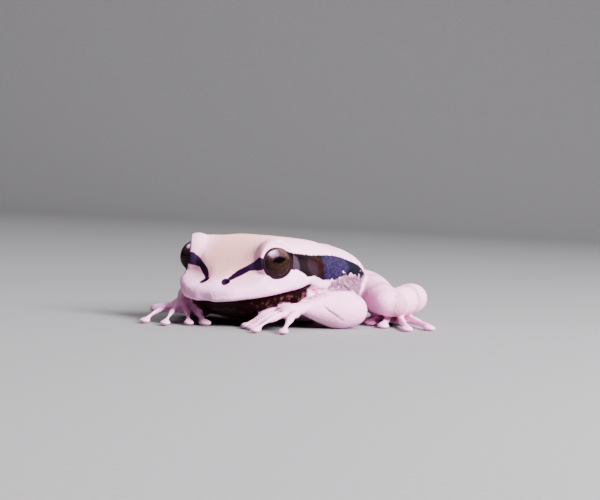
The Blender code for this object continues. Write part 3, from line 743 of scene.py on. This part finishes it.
def backRelief(out, back, level):
    # Shoulder blades, sacral hump, the two hip bones behind it and the urostyle between them.
    onTop = fade(level - smoothThrough(body["backLine"], back), -3.2, -1.0)
    hind = fade(back, 36.0, 39.0) * fade(back, 56.0, 50.0)
    hipBone = 3.6 - 0.13 * (back - 37.0)
    relief = 0.32 * bell((back - 37.0, 2.2), (out, 4.4))
    relief += hind * (0.24 * bell((out - hipBone, 1.3)) + 0.1 * bell((out, 0.9))
                      - 0.1 * bell((out - hipBone / 2, 0.9)))
    relief += 0.14 * bell((out - 5.4, 1.9), (back - 25.0, 3.2))
    relief -= 0.14 * bell((out, 0.9)) * fade(back, 17.0, 22.0) * fade(back, 36.0, 33.0)
    return relief * onTop


def sculpt(skin, lines):
    mesh = skin.data
    points = relaxed(vertexArray(mesh), edgeArray(mesh), skinBuild["smoothing"])
    points = fillCreases(mesh, points)
    tip = fade(points[:, 1] - body["snoutY"] + points[:, 0] * 0.2, 4.5, 1.5)
    points = relaxed(points, edgeArray(mesh), skinBuild["tipRounds"], tip, pull=0.5)
    onBody = fade(limbFields(points, lines)[0], 0.1, 0.7)
    spots = homeSpots(raiseAndStraighten(points))
    out, back, level = spots.T

    # lips: a narrow groove along the mouth line and a rounded edge above it
    gapLine = level - mouthLevel(back)
    mouth = onBody * (1 - fade(back, body["mouthCorner"] - 1.2, body["mouthCorner"] + 0.2))
    aside = fade(out / smoothThrough(body["halfWidth"], back), 0.2, 0.6)
    mouth = mouth * np.maximum(aside, fade(back, 3.6, 1.2))
    push = (raised("mouthGroove", gapLine) + raised("lipSwell", gapLine)) * mouth

    # nostrils, eardrums and the fold that runs from the eye over the eardrum
    nostril = apart(spots, face["nostril"])
    push += raised("nostrilPit", nostril) + raised("nostrilRim", nostril)
    drum = apart(spots, face["eardrum"])
    rim = face["eardrumRadius"]
    push += onBody * (0.1 * bell((drum - rim, 0.2)) - 0.16 * fade(-drum, -rim + 0.1, -rim + 0.5))
    push += onBody * face["foldHeight"] * fade(strokeField(spots, face["foldPath"]), -0.5, 0.35)
    push -= face["creaseDepth"] * fade(creaseDepth(spots), -0.3, 0.12)
    push += backRelief(out, back, level) * onBody

    points = points + normalsOf(mesh, points) * push[:, None]

    # lids: the skin dips under each eyeball inside the opening and stands proud as a soft rim round it
    rimAway = np.full(len(points), 99.0)
    for side in (1, -1):
        centre, axis, arm, reach, facing = fromEye(points, side)
        off = (np.arccos(np.clip(facing, -1, 1)) - eyes["lidOpening"]) * eyes["radius"]
        near = reach < 5.0
        flare = eyes["browFlare"] * fade((arm[:, 2] - axis[2] * reach) / reach, 0.2, 0.9)
        sunk = face["lidSink"]
        inner = eyes["radius"] - sunk + (sunk + face["lidFlare"]) * fade(off, -0.28, 0.1)
        inner = inner + flare * fade(off, -0.05, 0.8)
        cap = inner + 3.0 * fade(off, 0.25, 1.1)
        wanted = np.minimum(reach, cap)
        least = np.where(off > -0.02, eyes["radius"] + 0.1, 0.0)
        wanted = np.maximum(wanted, np.where(off < 1.5, least, 0.0))
        points[near] = centre + arm[near] * (wanted[near] / reach[near])[:, None]
        rimAway[near] = np.minimum(rimAway[near], off[near])
    points[:, 2] = np.maximum(points[:, 2], 0.0)
    mesh.vertices.foreach_set("co", points.ravel())
    mesh.update()
    setAttribute(mesh, "lidField", rimAway)


def thinOut(skin, lines):
    # Fewer triangles on trunk, thighs and shanks, all of them kept on head, hands and feet.
    points = vertexArray(skin.data)
    back = points[:, 1] - body["snoutY"]
    which = limbFields(points, lines)[2]
    broad = np.isin(which, [number for number, line in enumerate(lines, 1) if line.banding > 0.9])
    chosen = np.flatnonzero((back > skinBuild["plainBehind"]) & ((which == 0) | broad))
    group = skin.vertex_groups.new(name="plain")
    group.add(chosen.tolist(), 1.0, "REPLACE")
    modifier = skin.modifiers.new("thin", "DECIMATE")
    modifier.ratio = min(1.0, skinBuild["triangles"] / len(skin.data.polygons))
    modifier.vertex_group = "plain"
    modifier.vertex_group_factor = 10.0
    applyModifiers(skin)
    skin.vertex_groups.clear()


def paintFields(skin, lines):
    mesh = skin.data
    points = vertexArray(mesh)
    away, along, which = limbFields(points, lines)
    home = raiseAndStraighten(points)
    spots = homeSpots(home)
    out, back, level = spots.T
    banding = np.array([0.0] + [line.banding for line in lines])[which]
    inward = 3.0 * (1 - fade(out, 6.0, 8.5))
    aside = inward + 3.0 * fade(out, 13.4, 14.4) + 3.0 * fade(banding, 0.3, 0.6)
    within = 1 - fade(out - smoothThrough(body["halfWidth"], back), 0.1, 0.6)
    hidden = {"mask": 3.0 * (1 - fade(out, 3.5, 6.0)), "patch": inward, "flank": aside, "wrinkle": aside}
    fields = {name + "Field": polygonField(spots[:, 1:], markings[name]) - hidden.get(name, 0.0)
              for name in ("mask", "blue", "drum", "grey", "brown", "patch", "flank", "wrinkle")}
    fields |= {"home": home, "onBody": fade(away, -0.1, 0.9), "along": along, "banding": banding,
               "level": level, "back": back, "out": out, "creaseField": creaseDepth(spots),
               "stripeAndShadeField": np.maximum(strokeField(spots, markings["stripeAndShade"]),
                                         strokeField(spots, markings["nostril"])),
               "speckField": np.max([strokeField(spots, [speck, speck]) for speck in markings["specks"]], axis=0),
               # where the dark jaw band, with its painted shade under the lip, may reach: inside the body's width
               # and off the limbs
               "mouthField": level - mouthLevel(back), "jawAndShadeField": within * fade(away, -0.05, 0.3)}
    for name, values in fields.items():
        setAttribute(mesh, name, values)


markings = {
    # outlines in (back from the snout, level against the eyes)
    "mask": [(10.6, 1.9), (11.8, 1.5), (14.6, 0.75), (17.5, 0.1), (19.5, -0.45), (21.6, -0.85), (23.7, -1.2),
             (28.4, -1.75), (33.1, -2.85), (35.4, -3.9), (38.5, -5.2), (36.5, -5.5), (32.5, -4.85),
             (29.7, -4.6), (26.0, -4.4), (23.3, -5.2), (20.4, -5.0), (17.5, -3.6), (15.2, -3.3),
             (14.2, -2.4), (13.2, -1.75), (10.5, -1.2)],
    "blue": [(22.2, -1.0), (25, -1.35), (28.0, -1.7), (28.4, -3.0), (26.5, -4.4), (23.3, -5.2), (21.0, -5.0),
             (20.9, -2.9)],
    "drum": [(16.9, -1.5), (18.2, -0.9), (19.6, -1.3), (20.0, -2.4), (19.3, -3.5), (17.6, -4.0), (16.6, -3.3),
             (16.4, -2.2)],
    "brown": [(19.4, -0.8), (20.9, -1.1), (20.9, -2.6), (20.2, -3.6), (19.2, -3.6), (19.9, -2.4)],
    "grey": [(12.2, 1.0), (14.0, 0.6), (14.9, 0.0), (14.6, -1.0), (13.8, -1.9), (12.2, -1.5)],
    "patch": [(15.8, -3.5), (17.3, -3.8), (19.3, -4.6), (21.9, -5.1), (22.4, -5.8), (21.4, -6.6),
              (19.6, -6.1), (17.4, -5.0), (16.0, -4.3)],
    # strokes of (out, back, level) and half width
    # the line from nostril to eye; its wide last key in front of the eye is partly painted shade round the eye
    "stripeAndShade": [((2.25, 4.5, -2.15), 0.42), ((2.75, 5.2, -1.8), 0.54), ((3.25, 5.7, -1.45), 0.66),
               ((3.9, 6.25, -1.05), 0.66), ((4.55, 6.8, -0.67), 0.66), ((5.6, 7.2, -0.25), 0.8),
               ((6.75, 6.8, 0.3), 1.1)],
    "nostril": [((1.95, 3.7, -2.45), 0.75), ((2.0, 3.45, -3.2), 1.15)],
    "specks": [((1.4, 0.2, -3.35), 0.3), ((4.26, 9.3, 2.4), 0.26), ((4.16, 8.45, 1.75), 0.24),
               ((2.67, 8.4, 1.85), 0.26), ((3.3, 3.2, -2.65), 0.22), ((5.2, 12.4, 3.0), 0.22)],
    "flank": [(19.0, -5.3), (21.9, -5.5), (23.3, -5.1), (26.3, -4.7), (29.0, -4.5), (33.2, -4.4), (35.8, -5.5),
              (35.5, -7.2), (32.5, -8.0), (27.5, -7.6), (24.9, -7.4), (21.3, -6.9), (19.6, -6.5)],
    "wrinkle": [(16.1, -6.1), (16.4, -4.9), (18.3, -4.9), (19.8, -6.1), (17.8, -6.9), (14.2, -7.3),
                (12.9, -7.3), (14.6, -6.6)],
    "creases": [[((13.2, 15.9, -8.1), 0.06), ((13.7, 16.7, -9.0), 0.13), ((14.2, 18.1, -10.1), 0.13),
                 ((14.6, 19.6, -11.3), 0.05)],
                [((14.3, 18.5, -7.9), 0.04), ((14.7, 19.8, -7.9), 0.04)],
                [((11.2, 17.1, -6.4), 0.1), ((10.8, 19.9, -6.5), 0.13), ((12.4, 21.6, -6.6), 0.12),
                 ((14.2, 22.8, -7.2), 0.08)],
                [((10.9, 23.7, -5.2), 0.16), ((11.3, 25.3, -6.1), 0.2), ((12.6, 24.7, -7.1), 0.16)],
                [((11.1, 26.7, -4.6), 0.06), ((11.7, 29.6, -5.8), 0.1), ((12.1, 32.5, -7.3), 0.08)],
                [((11.5, 28.6, -4.9), 0.05), ((11.9, 31.9, -5.7), 0.08), ((12.0, 34.6, -6.0), 0.05)],
                [((11.7, 12.5, -7.1), 0.05), ((11.3, 15.4, -6.5), 0.12), ((10.3, 19.2, -6.1), 0.08)],
                [((11.3, 14.3, -6.6), 0.05), ((10.9, 16.4, -5.9), 0.1), ((10.3, 18.0, -5.4), 0.05)],
                [((10.6, 12.6, -6.5), 0.04), ((10.0, 15.3, -6.0), 0.1), ((10.0, 16.7, -5.2), 0.04)],
                [((12.4, 15.4, -8.2), 0.04), ((10.6, 12.9, -8.4), 0.09), ((9.6, 11.2, -8.8), 0.03)],
                [((12.3, 14.9, -7.6), 0.03), ((10.9, 12.6, -7.7), 0.08), ((9.9, 10.9, -8.3), 0.03)]],
}


def nodeTools(tree):
    # The kinds of node that the materials are made of, each bound to one tree.
    def calc(operation, a, b=0.0, c=0.0):
        return addNode(tree, "ShaderNodeMath", {0: a, 1: b, 2: c}, operation=operation)

    def times(product, *factors):
        for factor in factors:
            product = calc("MULTIPLY", product, factor)
        return product

    def scaled(a, factor, plus):
        return calc("MULTIPLY_ADD", a, factor, plus)

    def field(name):
        return addNode(tree, "ShaderNodeAttribute", attribute_name=name, index=2)

    def ramp(value, start, end, low=0.0, high=1.0):
        return addNode(tree, "ShaderNodeMapRange", {"Value": value, "From Min": start, "From Max": end,
                                                    "To Min": low, "To Max": high},
                       interpolation_type="SMOOTHSTEP")

    def blend(factor, under, over):
        return addNode(tree, "ShaderNodeMix", {0: factor, 6: under, 7: over}, index=2, data_type="RGBA")

    def noise(place, scale, detail, rough):
        return addNode(tree, "ShaderNodeTexNoise", {"Vector": place, "Scale": scale, "Detail": detail,
                                                    "Roughness": rough})

    return calc, times, scaled, field, ramp, blend, noise


def openMaterial(material, surface):
    # Sets what is the same all over the surface, on the shader's own sockets.
    material.use_nodes = True
    shader = material.node_tree.nodes["Principled BSDF"]
    for socket, value in surface.items():
        shader.inputs[socket].default_value = value
    return material.node_tree, shader


skinLook = {
    "back": (0.94, 0.49, 0.68, 1),
    "backWarm": (0.86, 0.42, 0.42, 1),
    "lip": (0.98, 0.48, 0.80, 1),
    "limb": (0.92, 0.43, 0.72, 1),
    "belly": (0.90, 0.56, 0.60, 1),
    "mask": (0.0025, 0.0008, 0.0018, 1),
    "maskBrown": (0.008, 0.0025, 0.0045, 1),
    "drum": (0.017, 0.0075, 0.012, 1),
    "brown": (0.014, 0.0035, 0.0035, 1),
    "blue": (0.026, 0.016, 0.060, 1),
    "blueDark": (0.008, 0.005, 0.017, 1),
    "maskEnd": (0.003, 0.003, 0.007, 1),
    "grey": (0.036, 0.020, 0.032, 1),
    # colour of the line from nostril to eye, also the painted shade at its wide end by the eye
    "stripeAndShade": (0.014, 0.0025, 0.019, 1),
    "stripeRear": (0.046, 0.024, 0.075, 1),
    # near-black jaw band: partly the jaw's own colour, partly painted shade under the lip
    "throat": (0.006, 0.001, 0.0015, 1),
    "throatTan": (0.07, 0.028, 0.026, 1),
    "bar": (0.40, 0.21, 0.16, 1),
    "flank": (0.10, 0.055, 0.085, 1),
    "wrinkle": (0.085, 0.042, 0.055, 1),
    # dark of the flank net and the specks, also used for the painted shade in the creases
    "vein": (0.045, 0.014, 0.028, 1),
    "lidEdge": (0.016, 0.008, 0.012, 1),
    "roughness": (0.40, 0.56),
    "grain": 3.2,  # skin granules for each millimetre
    "grainHeight": 0.00018,
    "grainStrength": (0.2, 0.5),  # on the smooth crown, and on the granular sides and limbs
    "fineScale": 2.6,
    "broadScale": 0.35,
    "raggedScale": 1.6,
    "speckScale": 0.55,
    "netScale": 0.75,
    "barSpacing": 1.05,
    "barStrength": 0.6,
    "surface": {"Specular IOR Level": 0.03, "Subsurface Weight": 0.02,
                "Subsurface Radius": (1.0, 0.45, 0.3), "Subsurface Scale": 0.0004},
}


def dressSkin():
    look = skinLook
    tree, shader = openMaterial(skinMaterial, look["surface"])
    calc, times, scaled, field, ramp, blend, noise = nodeTools(tree)

    def coat(under, name, where, strength=1.0):
        return blend(times(where, strength), under, look[name])

    def cells(scale, feature="F1", **inputs):
        return addNode(tree, "ShaderNodeTexVoronoi", {"Vector": place, "Scale": scale, **inputs}, feature=feature)

    place = addNode(tree, "ShaderNodeAttribute", attribute_name="home", index=1)
    onBody = field("onBody")
    level = field("level")
    back = field("back")
    fine = noise(place, look["fineScale"], 4.0, 0.6)
    broad = noise(place, look["broadScale"], 3.0, 0.5)
    ragged = scaled(noise(place, look["raggedScale"], 4.0, 0.65), 0.9, -0.45)

    # pale back with warmer clouds, paler lips and limbs, cream belly
    crown = scaled(broad, 4.0, field("out"))
    colour = blend(ramp(crown, 9.3, 4.6), look["back"], look["backWarm"])
    lips = calc("ADD", level, times(ragged, 1.2))
    colour = coat(colour, "lip", ramp(lips, -0.6, -3.2))
    colour = coat(colour, "belly", ramp(lips, -7.5, -10.0))
    colour = coat(colour, "limb", ramp(onBody, 0.9, 0.0))

    # soft crossbars on the legs, hardly any on the arms
    along = scaled(field("along"), look["barSpacing"], times(ragged, 3.2))
    wave = calc("SINE", scaled(broad, 3.0, along))
    bars = times(ramp(wave, 0.2, 1.0), ramp(onBody, 0.35, 0.0), field("banding"), ramp(fine, 0.3, 0.55, 0.5, 1.0))
    colour = coat(colour, "bar", bars, look["barStrength"])

    # small dark specks scattered over the crown
    speck = times(ramp(cells(look["speckScale"]), 0.16, 0.05), ramp(fine, 0.5, 0.62), ramp(level, -1.5, 1.0))
    colour = coat(colour, "maskBrown", speck, 0.55)

    # greyer flanks with a thin dark net over them
    flank = times(ramp(back, 22.0, 26.0), ramp(back, 44.0, 36.0), ramp(level, -3.6, -5.2),
                  ramp(level, -12.5, -9.5), onBody)
    beside = scaled(ragged, 1.3, field("flankField"))
    flank = calc("MAXIMUM", flank, ramp(beside, -0.3, 0.5))
    flank = times(flank, ramp(fine, 0.3, 0.6, 0.7, 1.0))
    colour = coat(colour, "flank", flank, 0.93)
    wrinkled = scaled(ragged, 0.9, field("wrinkleField"))
    wrinkled = times(ramp(wrinkled, -0.25, 0.3), ramp(fine, 0.42, 0.56))
    colour = coat(colour, "wrinkle", wrinkled, 0.7)
    net = ramp(scaled(ragged, 0.05, cells(look["netScale"], "DISTANCE_TO_EDGE")), 0.07, 0.01)
    colour = coat(colour, "vein", times(net, ramp(flank, 0.2, 0.6)), 0.6)

    # dark mask over the eardrum, its bluish grained rear, and the line from nostril to eye, whose wide end at the
    # eye is partly painted shade
    torn = scaled(noise(place, 1.0, 2.0, 0.5), 3.4, -1.7)
    torn = times(torn, ramp(back, 19.5, 22.5), ramp(level, -3.2, -4.2))
    edge = scaled(ragged, 0.7, calc("ADD", field("maskField"), torn))
    inMask = times(ramp(edge, -0.08, 0.12), onBody)
    mask = blend(ramp(fine, 0.4, 0.65), look["mask"], look["maskBrown"])
    mask = coat(mask, "drum", ramp(field("drumField"), -0.2, 0.3), 0.9)
    mask = coat(mask, "brown", ramp(field("brownField"), -0.25, 0.25))
    blue = blend(ramp(cells(look["grain"] * 0.8), 0.25, 0.6, 0.0, 0.8), look["blue"], look["blueDark"])
    rear = blend(ramp(fine, 0.5, 0.68), look["maskEnd"], look["blueDark"])
    mask = blend(ramp(back, 25.5, 28.0), mask, rear)
    mask = blend(ramp(field("blueField"), -0.7, 0.5), mask, blue)
    mask = coat(mask, "grey", ramp(field("greyField"), -0.25, 0.3))
    colour = blend(inMask, colour, mask)
    patch = scaled(ragged, 0.5, field("patchField"))
    colour = coat(colour, "lip", times(ramp(patch, -0.1, 0.25), onBody))
    stripeAndShade = scaled(ragged, 0.2, field("stripeAndShadeField"))
    purple = blend(ramp(back, 6.2, 7.3, 0.0, 0.7), look["stripeAndShade"], look["stripeRear"])
    colour = blend(times(ramp(stripeAndShade, -0.06, 0.1), onBody), colour, purple)
    speck = ramp(scaled(ragged, 0.2, field("speckField")), -0.1, 0.16)
    colour = coat(colour, "vein", speck, 0.8)
    # painted shade along the skin's creases, in the vein colour
    creaseShade = ramp(scaled(ragged, 0.12, field("creaseField")), -0.16, 0.06)
    colour = coat(colour, "vein", creaseShade, 0.8)

    # dark jaw edge under the lips, mottled with tan, then a pale throat; the dark reaches 5 to 7 mm below the mouth
    # line, partly the jaw's own colour and partly painted shade under the lip
    below = field("mouthField")
    depth = scaled(ragged, 1.4, below)
    jaw = times(ramp(below, 0.06, -0.08), ramp(back, 17.4, 16.4), field("jawAndShadeField"), ramp(depth, -6.8, -5.0))
    blotch = ramp(noise(place, 0.9, 3.0, 0.55), 0.52, 0.62)
    spots = times(blotch, ramp(below, -0.45, -0.8), ramp(back, 2.0, 12.0, 0.35, 1.0))
    colour = blend(jaw, colour, coat(look["throat"], "throatTan", spots, 0.85))

    # dark lid edge
    lid = field("lidField")
    low = ramp(level, 1.8, -1.2, -0.04, 0.1)
    low = calc("ADD", low, ramp(back, 9.9, 7.2, 0.0, 0.2))
    lidEdge = ramp(calc("SUBTRACT", lid, low), 0.12, 0.0)
    colour = coat(colour, "lidEdge", lidEdge)

    height = scaled(cells(look["grain"], "SMOOTH_F1", Smoothness=0.6), -0.7, fine)
    coarse = ramp(level, 2.0, -6.5, *look["grainStrength"])
    bump = addNode(tree, "ShaderNodeBump", {"Height": height, "Strength": coarse, "Distance": look["grainHeight"]})
    tree.links.new(colour, shader.inputs["Base Color"])
    tree.links.new(bump, shader.inputs["Normal"])
    tree.links.new(ramp(fine, 0.3, 0.7, *look["roughness"]), shader.inputs["Roughness"])


eyeLook = {
    "iris": (0.026, 0.012, 0.008, 1),
    "irisPale": (0.075, 0.038, 0.036, 1),
    "vein": (0.005, 0.002, 0.0014, 1),
    "pupil": (0.001, 0.0007, 0.001, 1),
    "pupilHalfWidth": 0.40,
    "pupilHalfHeight": 0.19,
    "frontBulge": 0.05,  # of the radius
    "surface": {"Roughness": 0.25, "Coat Weight": 0.25, "Coat Roughness": 0.2, "Specular IOR Level": 0.0},
}


def makeEye(side, name):
    centre = posed(eyeCentre(side))
    gaze = posedAxis(side, eyes["pupilBearing"], eyes["pupilLift"])
    across = np.cross((0, 0, 1.0), gaze)
    across /= np.linalg.norm(across)
    up = np.cross(gaze, across)
    obj = ball(name, (0, 0, 0), (1, 1, 1), segments=72, rings=48)
    local = vertexArray(obj.data)
    local = local / np.linalg.norm(local, axis=1)[:, None]
    lift = eyeLook["frontBulge"] * fade(local[:, 2], 0.45, 0.95)  # the clear front bulges a little
    place = centre + eyes["radius"] * (1 + lift)[:, None] * (local[:, :1] * across + local[:, 1:2] * up
                                                             + local[:, 2:] * gaze)
    obj.data.vertices.foreach_set("co", place.ravel())
    local[:, 0] *= side
    c, s = math.cos(eyes["pupilTilt"]), math.sin(eyes["pupilTilt"])
    local[:, :2] = local[:, :2] @ np.array([[c, -s], [s, c]])
    setAttribute(obj.data, "gaze", local)
    return obj


def dressEye(material):
    look = eyeLook
    tree, shader = openMaterial(material, look["surface"])
    calc, times, scaled, _, ramp, blend, noise = nodeTools(tree)
    place = addNode(tree, "ShaderNodeAttribute", attribute_name="gaze", index=1)
    parts = tree.nodes.new("ShaderNodeSeparateXYZ")
    tree.links.new(place, parts.inputs[0])
    u, v, w = parts.outputs
    angle = calc("ARCTAN2", v, u)
    reach = calc("SQRT", calc("ADD", times(u, u), times(v, v)))
    swirl = addNode(tree, "ShaderNodeCombineXYZ", {"X": times(angle, 1.6), "Y": times(reach, 3.0), "Z": w})
    threads = noise(swirl, 2.2, 6.0, 0.7)
    flecks = noise(place, 14.0, 4.0, 0.6)
    bright = scaled(flecks, 0.5, times(threads, 0.5))
    iris = blend(ramp(bright, 0.38, 0.62), look["vein"], look["iris"])
    iris = blend(times(ramp(v, -0.15, 0.55), ramp(bright, 0.35, 0.6)), iris, look["irisPale"])
    iris = blend(ramp(reach, 0.72, 0.92), iris, look["vein"])
    wide = calc("DIVIDE", u, look["pupilHalfWidth"])
    span = calc("SUBTRACT", 1.0, times(wide, wide))
    tall = calc("SUBTRACT", times(span, look["pupilHalfHeight"]), calc("ABSOLUTE", v))
    colour = blend(ramp(tall, -0.012, 0.012), iris, look["pupil"])
    tree.links.new(colour, shader.inputs["Base Color"])


studio = {
    "floor": (0.215, 0.215, 0.22, 1),
    "floorFibre": (0.235, 0.235, 0.24, 1),
    "sweep": (0.5, 0.25, 1.4),  # where the floor ends behind, radius of the bend, height of the wall
    "azimuth": 19.0,
    "elevation": 2.5,
    "roll": 3.0,
    "lens": 140.0,
    "distance": 0.390,
    "aim": (0.0072, -0.01435, 0.0132),
    "lampAim": (0, -0.01, 0.008),
    # place, size, watts and colour
    "lamps": {"keyLight": ((0.43, -0.14, 0.29), (0.24, 0.24), 15.5, (1.0, 0.96, 0.98)),
              "fillLight": ((-0.22, -0.45, 0.30), (0.30, 0.22), 0.15, (0.95, 0.96, 1.0)),
              "topLight": ((0.14, 0.08, 0.45), (0.6, 0.6), 2.6, (1.0, 0.95, 1.0)),
              "backLight": ((0.25, 0.40, 0.25), (0.25, 0.20), 0.6, (0.96, 0.98, 1.0)),
              "mirrorCard": ((-0.08, -0.08, 0.42), (0.74, 0.44), 64.0, (1.0, 0.58, 1.0)),
              "mirrorHeart": ((-0.11, -0.06, 0.42), (0.44, 0.26), 44.0, (1.0, 0.62, 1.0))},
    "air": ((0.80, 0.82, 0.86, 1), 0.02),
    "surface": {"Roughness": 0.8},
}


def areaLight(name, place, size, power, colour):
    data = bpy.data.lights.new(name, "AREA")
    data.shape = "RECTANGLE"
    data.size, data.size_y = size
    data.energy = power
    data.color = colour
    lamp = addObject(name, data)
    lamp.location = place
    lamp.rotation_euler = (lamp.location - Vector(studio["lampAim"])).to_track_quat("Z", "Y").to_euler()
    return lamp


def backdrop(material):
    # Floor that curves up behind into a wall, so that no horizon shows.
    turn = math.radians(studio["azimuth"])
    ahead, across = Vector((-math.sin(turn), math.cos(turn), 0)), Vector((math.cos(turn), math.sin(turn), 0))
    depth, bend, height = studio["sweep"]
    outline = [(-1.2, 0.0), (depth, 0.0)]
    outline += [(depth + bend * math.sin(a), bend - bend * math.cos(a))
                for a in (math.pi / 2 * k / 16 for k in range(1, 17))]
    outline.append((depth + bend, height))
    points = [ahead * reach + across * wide + Vector((0, 0, rise))
              for reach, rise in outline for wide in (-1.5, 1.5)]
    faces = [(2 * k, 2 * k + 1, 2 * k + 3, 2 * k + 2) for k in range(len(outline) - 1)]
    mesh = bpy.data.meshes.new("backdrop")
    mesh.from_pydata([tuple(p) for p in points], [], faces)
    mesh.shade_smooth()
    mesh.materials.append(material)
    return addObject("backdrop", mesh)


def buildStudio(eyeballs):
    paper = bpy.data.materials.new("studioPaper")
    tree, shader = openMaterial(paper, studio["surface"])
    ramp, blend, noise = nodeTools(tree)[4:]
    place = addNode(tree, "ShaderNodeTexCoord", index=3)
    fibre = noise(place, 900.0, 3.0, 0.6)
    tint = blend(ramp(fibre, 0.3, 0.7), studio["floor"], studio["floorFibre"])
    tree.links.new(tint, shader.inputs["Base Color"])
    drop = backdrop(paper)
    lamps = [areaLight(name, *values) for name, values in studio["lamps"].items()]
    for lamp in lamps[:2]:
        lamp.visible_glossy = False  # key and fill leave no spot on the eyes
    eyesOnly = bpy.data.collections.new("eyesOnly")
    for eye in eyeballs:
        eyesOnly.objects.link(eye)
    for lamp in lamps[-2:]:
        lamp.visible_diffuse = False  # a soft reflection on the eyes, and nothing else
        lamp.light_linking.receiver_collection = eyesOnly
    world = bpy.data.worlds.new("studioAir")
    world.use_nodes = True
    air = world.node_tree.nodes["Background"].inputs
    air[0].default_value, air[1].default_value = studio["air"]
    bpy.context.scene.world = world


def placeCamera():
    turn, lift = math.radians(studio["azimuth"]), math.radians(studio["elevation"])
    back = Vector((math.sin(turn) * math.cos(lift), -math.cos(turn) * math.cos(lift), math.sin(lift)))
    data = bpy.data.cameras.new("camera")
    data.lens = studio["lens"]
    data.clip_start = 0.01
    camera = addObject("camera", data)
    camera.location = Vector(studio["aim"]) + back * studio["distance"]
    spin = Matrix.Rotation(math.radians(studio["roll"]), 3, "Z")
    camera.rotation_euler = (back.to_track_quat("Z", "Y").to_matrix() @ spin).to_euler()
    bpy.context.scene.camera = camera


def settle(piece, shift, material, slot, *nodes):
    # From millimetres in the frog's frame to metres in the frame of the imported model, in place of the nodes.
    piece.data.transform(Matrix.Scale(0.001, 4) @ Matrix.Translation(Vector(shift)))
    piece.data.shade_smooth()
    piece.data.materials.clear()
    piece.data.materials.append(material)
    piece.data.update()
    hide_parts(*nodes)
    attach(piece, next(iter(frame["bodies"])))


def main():
    low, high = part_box("eye_left")
    shift = (np.array(low) + np.array(high)) / 2 * 1000 - posed(eyeCentre(1))
    shift[2] = 0.0
    print("place of the frog in the frame", np.round(shift, 3))
    skin, lines = buildSkin()
    refine(skin, lines)
    print("skin refined", len(skin.data.vertices))
    sculpt(skin, lines)
    thinOut(skin, lines)
    paintFields(skin, lines)
    dressSkin()
    skin.name = "frogSkin"
    flesh = [name for name in frame["nodes"] if not name.startswith("eye_")]
    settle(skin, shift, skinMaterial, "skin", *flesh)
    print("skin done", len(skin.data.polygons))
    glossy = bpy.data.materials.new("frogEye")
    dressEye(glossy)
    eyeballs = []
    for side, letter in ((1, "left"), (-1, "right")):
        eyeballs.append(makeEye(side, "eyeball_" + letter))
        settle(eyeballs[-1], shift, glossy, "eye", "eye_" + letter)
    print("eyes done")
    buildStudio(eyeballs)
    placeCamera()


main()
